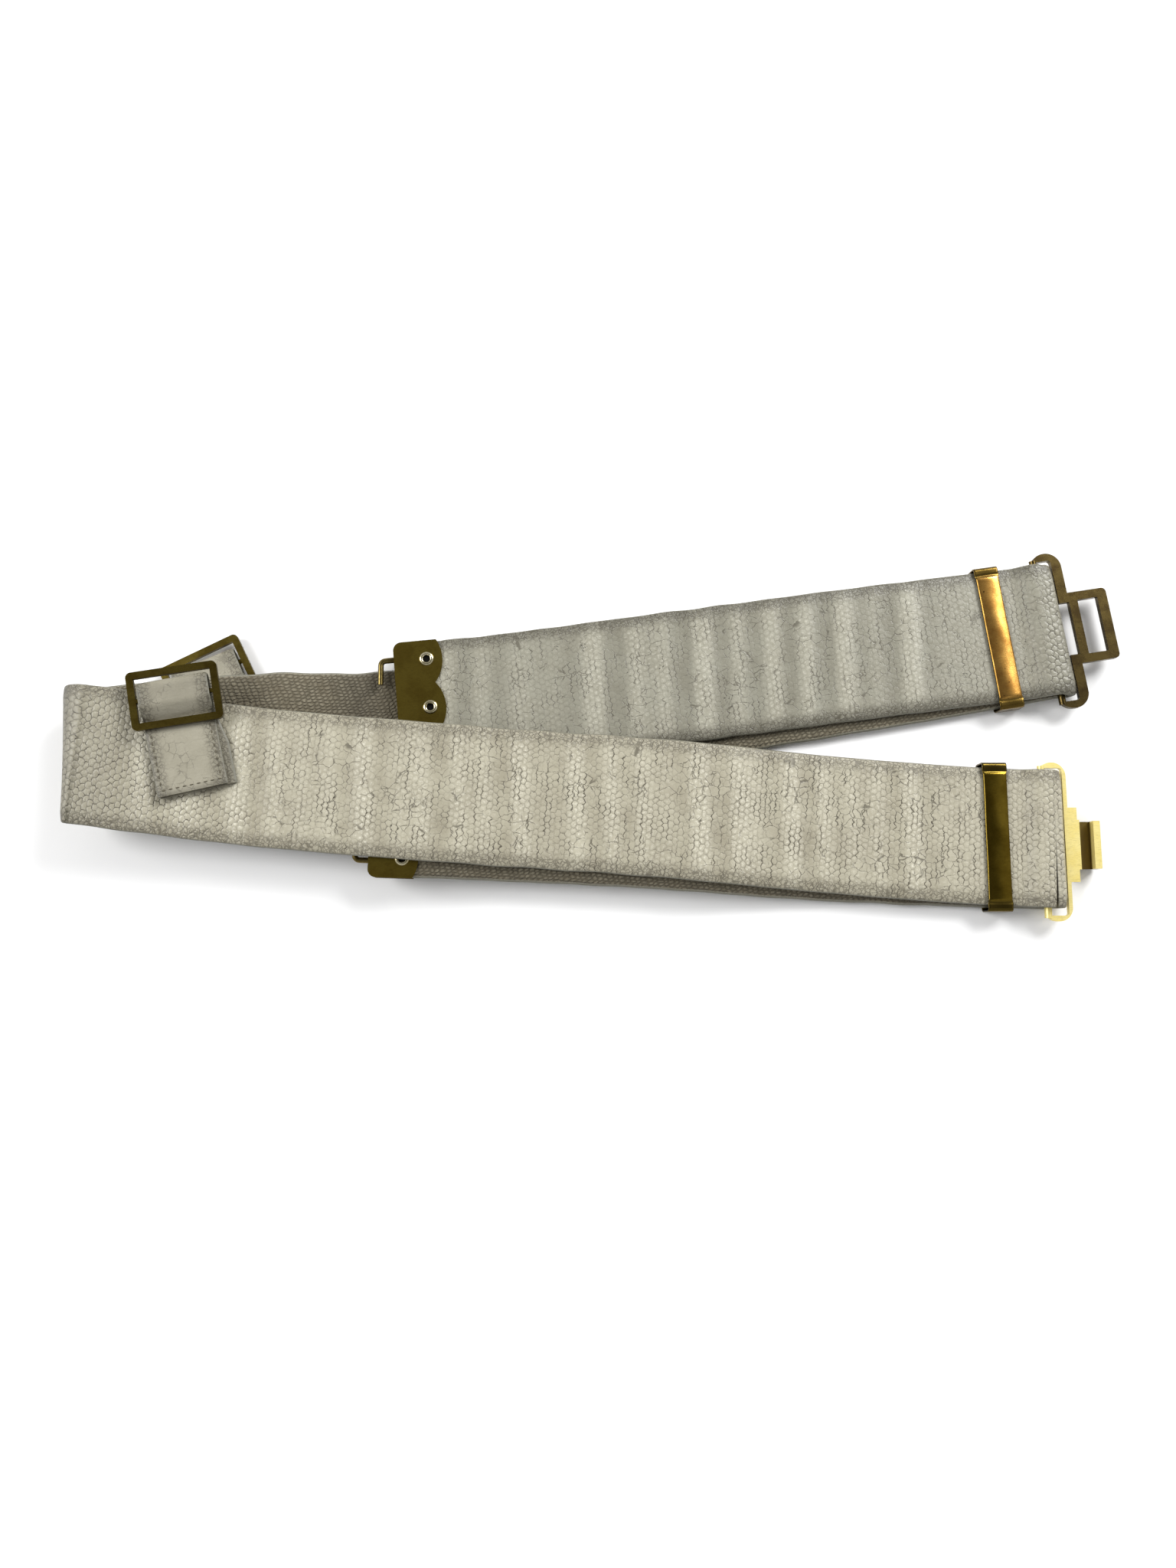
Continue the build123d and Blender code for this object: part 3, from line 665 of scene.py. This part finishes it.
def build_end(name, node, clasp, reach, over, line, rise, tip, sign, materials, seed, pitch):
    """Length folded back from a clasp to its brass tip."""
    rows = wrap_run(clasp, reach, over)
    rows += strap_run(line, rise, clasp[0] + reach - 0.6, tip[0] + 22)[1:]
    h = math.radians(tip[3])
    for r in (20.5, 12.0, 3.4):
        rows.append((tip[0] + r * math.cos(h), tip[1] + r * math.sin(h), tip[2], tip[3]))
    obj, _, v, places = ribbon(name, rows, sign, materials, seed=seed, pitch=pitch)
    x = places[:, 0] - SHIFT[0]
    hexed = 0.9 * near(x, 203, 12) + 0.2 * near(x, 150, 20)
    dirt_and_shade = 0.35 * near(x, 205, 5) + 0.35 * near(np.abs(v), 28, 2.5)
    strap_marks(obj, hexed, dirt_and_shade)
    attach(obj, "belt")
    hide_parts(node)


build_rear()
build_front()
build_end("strap_end_a", "webbing_end_a", CLASP_A, WRAP_A, False, END_A_LINE, END_A_RISE, TIP_A, -1,
          [PAINT_A, BARE], 11, 19.0)
build_end("strap_end_b", "webbing_end_b", STRAP_AT_B, WRAP_B, True, END_B_LINE, END_B_RISE, TIP_B, 1,
          [PAINT, BARE], 17, 14.0)

# ---------------------------------------------------------------- chapes

CHAPE_HALF = 14.1
CHAPE_THICK = 1.6
CHAPE_TAB = 31.0
CHAPE_LOOP = 44.1
CHAPE_CLEAR = 0.3
FLARE_ROWS = 64
LUG_HEIGHT = 4.85
LUG_RADIUS = 1.0
FRONT_TAB = (-159.6, -5.95, 103.5)
REAR_TAB = (-146.6, 9.1, 109.5)
FRONT_TURN = ((0, 0), (18, 0), (45, -0.9))
REAR_TURN = ((0, 0), (18, 0), (45, -2.1))


def strap_face(tab, line, rise, side):
    """Origin and the three directions of the strap face that a tab is sewn to."""
    x, y, bearing = tab
    centre_y, turn = curve(line, x)
    centre_z, grade = curve(rise, x)
    h = math.atan(turn)
    p = math.atan(grade)
    normal = np.array([-math.sin(p) * math.cos(h), -math.sin(p) * math.sin(h), math.cos(p)])
    z = centre_z + (y - centre_y) * math.sin(h) * math.tan(p)
    origin = np.array([x, y, z]) + normal * side * 1.6
    b = math.radians(bearing)
    out = np.array([math.cos(b), math.sin(b), 0])
    out = out - normal * out.dot(normal)
    out /= np.linalg.norm(out)
    up = normal * side
    return origin, out, np.cross(up, out), up


def chape_path():
    """Side view of a chape as fine rows of reach and height."""
    low = CHAPE_CLEAR + CHAPE_THICK / 2
    stacked = low + CHAPE_THICK + 0.05
    turn = LUG_RADIUS + CHAPE_CLEAR + CHAPE_THICK / 2
    rows = [(0, low), (16, low), (CHAPE_TAB + 1, low)]
    rows += [(35, (low + LUG_HEIGHT - turn) / 2), (38, LUG_HEIGHT - turn)]
    for a in np.radians(np.arange(0, 181, 15)):
        rows.append((CHAPE_LOOP + turn * math.sin(a), LUG_HEIGHT - turn * math.cos(a)))
    rows += [(37, LUG_HEIGHT + turn), (34, (stacked + LUG_HEIGHT + turn) / 2 + 0.1)]
    rows += [(CHAPE_TAB, stacked + 0.15), (16, stacked), (0, stacked)]
    rows = np.array(rows, dtype=float)
    run = np.concatenate([[0], np.cumsum(np.linalg.norm(np.diff(rows, axis=0), axis=1))])
    fine = np.arange(0, run[-1], 0.5)
    return np.interp(fine, run, rows[:, 0]), np.interp(fine, run, rows[:, 1])


def chape(name, node, tab, line, rise, side, turns, seed):
    origin, out, left, up = strap_face(tab, line, rise, side)
    reach, height = chape_path()
    height = smoothed(height, 2)
    bend = [curve(turns, r) for r in reach]
    offset = np.array([b[0] for b in bend])
    heading = np.arctan([b[1] for b in bend])
    centre = origin + reach[:, None] * out + offset[:, None] * left + height[:, None] * up
    across = -np.sin(heading)[:, None] * out + np.cos(heading)[:, None] * left
    tangent = np.gradient(centre, axis=0)
    normal = np.cross(tangent, across)
    normal /= np.linalg.norm(normal, axis=1)[:, None]
    s = np.concatenate([[0], np.cumsum(np.linalg.norm(np.diff(centre, axis=0), axis=1))])
    flare = 0.24 * np.clip((FLARE_ROWS - np.arange(len(s))) / 30, 0, 1)
    obj, s_all, v, _ = ribbon(name, (centre, across, normal, s), -1, [CHAPE, CHAPE], half=CHAPE_HALF,
                              skin=CHAPE_THICK / 2, edge=3.0, drop=0.3, wave=0.0, seed=seed, counts=(25, 15),
                              flare=flare)
    end = s[-1] - s_all
    # darker at the loose end, along the edges and at the tab's bend; painted shade on the loop inside the
    # buckle frame
    dirt_and_shade = 0.45 * near(end, 0, 1.6) + 0.30 * near(np.abs(v), CHAPE_HALF, 1.6)
    dirt_and_shade += 0.35 * near(end, CHAPE_TAB, 3.0) + 0.20 * near(end, 43, 9.0)
    strap_marks(obj, np.zeros(len(v)), dirt_and_shade)
    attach(obj, "belt")
    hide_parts(node)
    stitches(name + "_stitches", origin, out, left, up, CHAPE_CLEAR + 2 * CHAPE_THICK + 0.12)


STITCH_PITCH = 2.8
STITCH_HALF = 0.95
STITCH_ROW = 11.9
THREAD_RADIUS = 0.26
THREAD_DIP = 0.22
THREAD_SIDES = 6


def stitches(name, origin, out, left, up, height):
    """Short sewn stitches along the loose end and both sides of a tab."""
    runs = []
    for v in np.arange(-11.2, 11.3, STITCH_PITCH):
        runs.append((2.6, v, 0.0, 1.0))
    for r in np.arange(5.4, 26, STITCH_PITCH):
        runs.append((r, STITCH_ROW, 1.0, 0.0))
        runs.append((r, -STITCH_ROW, 1.0, 0.0))
    points, faces = [], []
    turn = np.linspace(0, 2 * np.pi, THREAD_SIDES, endpoint=False)
    for r, v, along, side in runs:
        along, side = along + RNG.normal(0, 0.06), side + RNG.normal(0, 0.06)
        way = along * out + side * left
        way /= np.linalg.norm(way)
        wide = np.cross(up, way)
        middle = origin + r * out + v * left + height * up
        first = len(points)
        for q in np.linspace(-1, 1, 6):
            radius = THREAD_RADIUS * math.sqrt(max(0.0, 1.02 - q * q))
            spot = middle + q * STITCH_HALF * way - THREAD_DIP * q * q * up
            points += [spot + radius * (math.cos(a) * wide + math.sin(a) * up) for a in turn]
        for i in range(5):
            here = first + i * THREAD_SIDES
            there = here + THREAD_SIDES
            for j in range(THREAD_SIDES):
                k = (j + 1) % THREAD_SIDES
                faces.append([here + j, here + k, there + k, there + j])
    obj = make_object(name, np.array(points) + SHIFT, faces, [THREAD])
    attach(obj, "belt")


chape("tab_front", "chape_front", FRONT_TAB, FRONT_LINE, FRONT_RISE, 1, FRONT_TURN, 31)
chape("tab_rear", "chape_rear", REAR_TAB, REAR_LINE, REAR_RISE, -1, REAR_TURN, 37)

# ---------------------------------------------------------------- keepers

KEEPER_HALF_WIDTH = 5.1
KEEPER_HALF_LONG = 31.0
KEEPER_HEIGHT = 8.9
KEEPER_CORNER = 1.6
KEEPER_PANEL = 26.6


PANEL_RISE = 0.10
CREASE_DEPTH = 0.28
DENT_DEPTH = 0.05


def keeper_path():
    """Outside of the band, seen along the strap: place and outward direction."""
    y0, z0, r = KEEPER_HALF_LONG, KEEPER_HEIGHT, KEEPER_CORNER
    rows = []

    def side(start, end, way, count):
        for q in np.linspace(0, 1, count, endpoint=False):
            rows.append((*(np.array(start) * (1 - q) + np.array(end) * q), *way))

    def corner(cy, cz, first):
        for a in np.radians(np.linspace(first, first + 90, 6, endpoint=False)):
            rows.append((cy + r * math.cos(a), cz + r * math.sin(a), math.cos(a), math.sin(a)))

    side((y0, r), (y0, z0 - r), (1, 0), 8)
    corner(y0 - r, z0 - r, 0)
    side((y0 - r, z0), (r - y0, z0), (0, 1), 120)
    corner(r - y0, z0 - r, 90)
    side((-y0, z0 - r), (-y0, r), (-1, 0), 8)
    corner(r - y0, r, 180)
    side((r - y0, 0), (y0 - r, 0), (0, -1), 60)
    corner(y0 - r, r, 270)
    return np.array(rows)


def keeper(name, node, body, place, crown, material):
    """Thin band with a crowned panel and a crease near each end."""
    path = keeper_path()
    y, z, ny, nz = path.T
    top = np.clip((z - KEEPER_HEIGHT + 0.4) / 0.3, 0, 1)
    panel = top / (1 + np.exp((np.abs(y) - KEEPER_PANEL) / 0.25))
    crease = top * np.exp(-((np.abs(y) - KEEPER_PANEL - 0.5) / 0.45) ** 2)
    w = KEEPER_HALF_WIDTH
    xs = np.linspace(-w + 0.12, w - 0.12, 17)
    cross = [(x, 0.0, 1) for x in xs] + [(w, -0.14, 0), (w, -0.56, 0), (w - 0.2, -0.7, 0), (0.2 - w, -0.7, 0)]
    cross += [(-w, -0.56, 0), (-w, -0.14, 0)]
    cx = np.array([c[0] for c in cross])
    cn = np.array([c[1] for c in cross])
    face = np.array([c[2] for c in cross])
    bulge = crown * (1 - (cx / w) ** 2) * face
    n = cn[None, :] + panel[:, None] * (bulge + PANEL_RISE * face)[None, :]
    n = n - (CREASE_DEPTH * crease)[:, None] * face[None, :]
    n = n + DENT_DEPTH * np.sin(y[:, None] / 4.3 + cx[None, :] / 2.0) * top[:, None] * face[None, :]
    x = np.broadcast_to(cx[None, :], n.shape) * (1 - 0.05 * panel)[:, None]
    local = np.stack([x, y[:, None] + ny[:, None] * n, z[:, None] + nz[:, None] * n], axis=-1).reshape(-1, 3)
    h = math.radians(place[2])
    spin = np.array([[math.cos(h), -math.sin(h), 0], [math.sin(h), math.cos(h), 0], [0, 0, 1]])
    points = local @ spin.T + np.array([place[0], place[1], 0]) + SHIFT
    rows_n, cols = n.shape
    i, j = np.meshgrid(np.arange(rows_n), np.arange(cols), indexing="ij")
    k, m = (j + 1) % cols, (i + 1) % rows_n
    quads = np.stack([i * cols + j, m * cols + j, m * cols + k, i * cols + k], axis=-1).reshape(-1, 4)
    obj = make_object(name, points, quads[:, ::-1].tolist(), [material])
    # darker beyond the raised panel; painted shade along the keeper's left edge
    shaded_left_edge = np.clip((0.9 - w - cx) / 0.5, 0, 1)
    set_attribute(obj, "tarnish_and_shade", np.clip((1 - panel)[:, None] + 0.8 * shaded_left_edge[None, :], 0, 1).ravel())
    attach(obj, body)
    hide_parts(node)


keeper("keeper_band_a", "keeper_a", "keeper_a_body", KEEPER_A, 0.75, KEEP_A)
keeper("keeper_band_b", "keeper_b", "keeper_b_body", KEEPER_B, 0.45, KEEP_B)

# ---------------------------------------------------------------- tips and other brass


def lathe(name, middle, profile, material, count=36):
    turn = np.linspace(0, 2 * np.pi, count, endpoint=False)
    points = []
    for r, z in profile:
        points += [(middle[0] + r * math.cos(a), middle[1] + r * math.sin(a), middle[2] + z) for a in turn]
    faces = []
    rows_n = len(profile)
    for i in range(rows_n):
        m = (i + 1) % rows_n
        for j in range(count):
            k = (j + 1) % count
            faces.append([i * count + j, i * count + k, m * count + k, m * count + j])
    return make_object(name, np.array(points) + SHIFT, faces, [material])


EYELET_INSET = 13.8
LOBE_PITCH = 20.8
TIP_FACE = 2.25
RIM = ((1.45, 0.0), (1.50, 0.30), (1.80, 0.58), (2.25, 0.62), (2.70, 0.45), (3.05, 0.12), (3.05, 0.0),
       (2.0, 0.0))
BORE_RADIUS = 1.5
BORE_DEPTH = 1.7


def eyelets(letter, tip):
    h = math.radians(tip[3])
    discs, faces = [], []
    for i in range(3):
        v = LOBE_PITCH * (1 - i)
        x = tip[0] + EYELET_INSET * math.cos(h) - v * math.sin(h)
        y = tip[1] + EYELET_INSET * math.sin(h) + v * math.cos(h)
        upper = [(r, TIP_FACE + z) for r, z in RIM]
        lower = [(r, -z) for r, z in upper[::-1]]
        obj = lathe(f"rivet_{letter}{i + 1}", (x, y, tip[2]), upper + lower, EYELET)
        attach(obj, "belt")
        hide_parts(f"eyelet_{letter}{i + 1}")
        # painted shade: a dark disc near each end of the bore stands for the shade in the eyelet's hole
        for side in (1, -1):
            first = len(discs)
            ring = np.linspace(0, 2 * np.pi, 20, endpoint=False)
            level = tip[2] + side * BORE_DEPTH
            discs += [(x + BORE_RADIUS * math.cos(a), y + BORE_RADIUS * math.sin(a), level) for a in ring]
            faces.append(list(range(first, first + 20))[::side])
    obj = make_object(f"rivet_bore_shades_{letter}", np.array(discs) + SHIFT, faces, [BORE_SHADE])
    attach(obj, "belt")


eyelets("a", TIP_A)
eyelets("b", TIP_B)


def show_node(name, material, width=0.35, segments=3):
    """A metal CAD node with softened edges."""
    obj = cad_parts[name]
    obj.data.materials.clear()
    obj.data.materials.append(material)
    edge = obj.modifiers.new("soft edges", "BEVEL")
    edge.width = width * MM
    edge.segments = segments
    edge.limit_method = "ANGLE"
    edge.angle_limit = math.radians(35)


for letter in "ab":
    show_node(f"tip_plate_{letter}", TIP, 0.25)
    show_node(f"tip_hooks_{letter}", WIRE, 0.2)
show_node("clasp_loop", BRONZE, 0.6)
show_node("clasp_hook", GOLD, 0.45)
show_node("buckle_front", BUCKLE, 0.7)
show_node("buckle_rear", BUCKLE, 0.7)

# ---------------------------------------------------------------- floor, light, camera


FLOOR_DROP = 0.3
ZENITH = 0.22
HORIZON_START = 0.86
HORIZON_END = 0.985
SKY_POWER = 0.55


def floor_material():
    sh = Shade("PaleFloor")
    return sh.surface(color=(0.93, 0.93, 0.93), rough=0.9, specular=0.0)


bpy.ops.mesh.primitive_plane_add(size=6, location=(0, 0, -FLOOR_DROP * MM))
floor = bpy.context.object
floor.name = "floor"
floor.data.materials.append(floor_material())

world = bpy.data.worlds.new("studio")
world.use_nodes = True
sky = world.node_tree
above = sky.nodes.new("ShaderNodeTexCoord")
height = sky.nodes.new("ShaderNodeSeparateXYZ")
ramp = sky.nodes.new("ShaderNodeMapRange")
ramp.interpolation_type = "SMOOTHSTEP"
for index, value in enumerate((HORIZON_START, HORIZON_END, 1.0, ZENITH)):
    ramp.inputs[index + 1].default_value = value
sky.links.new(above.outputs[0], height.inputs[0])
sky.links.new(height.outputs[2], ramp.inputs[0])
sky.links.new(ramp.outputs[0], sky.nodes["Background"].inputs[0])
sky.nodes["Background"].inputs[1].default_value = SKY_POWER
bpy.context.scene.world = world


def area_light(name, place, size, power, target=(0, 0, 0)):
    data = bpy.data.lights.new(name, "AREA")
    data.shape = "RECTANGLE"
    data.size, data.size_y = size
    data.energy = power
    obj = bpy.data.objects.new(name, data)
    bpy.context.collection.objects.link(obj)
    obj.location = place
    way = np.array(target) - np.array(place)
    obj.rotation_euler = Vector(way).to_track_quat("-Z", "Y").to_euler()


area_light("key_light", (0.9, 0.9, 0.9), (0.8, 0.6), 26)
area_light("side_light", (-1.1, 0.2, 0.8), (0.5, 0.8), 13)

CAMERA_PLACE = np.array([0.0, -69.29, 493.0])
CAMERA_TILT = 8
CAMERA_LENS = 27.035
SENSOR_WIDTH = 36
camera_data = bpy.data.cameras.new("camera")
camera_data.sensor_width = SENSOR_WIDTH
camera_data.lens = CAMERA_LENS
camera_data.clip_start = 0.01
camera = bpy.data.objects.new("camera", camera_data)
bpy.context.collection.objects.link(camera)
camera.location = (CAMERA_PLACE + SHIFT) * MM
camera.rotation_euler = (math.radians(CAMERA_TILT), 0, 0)
scene = bpy.context.scene
scene.camera = camera
scene.view_settings.view_transform = "Standard"
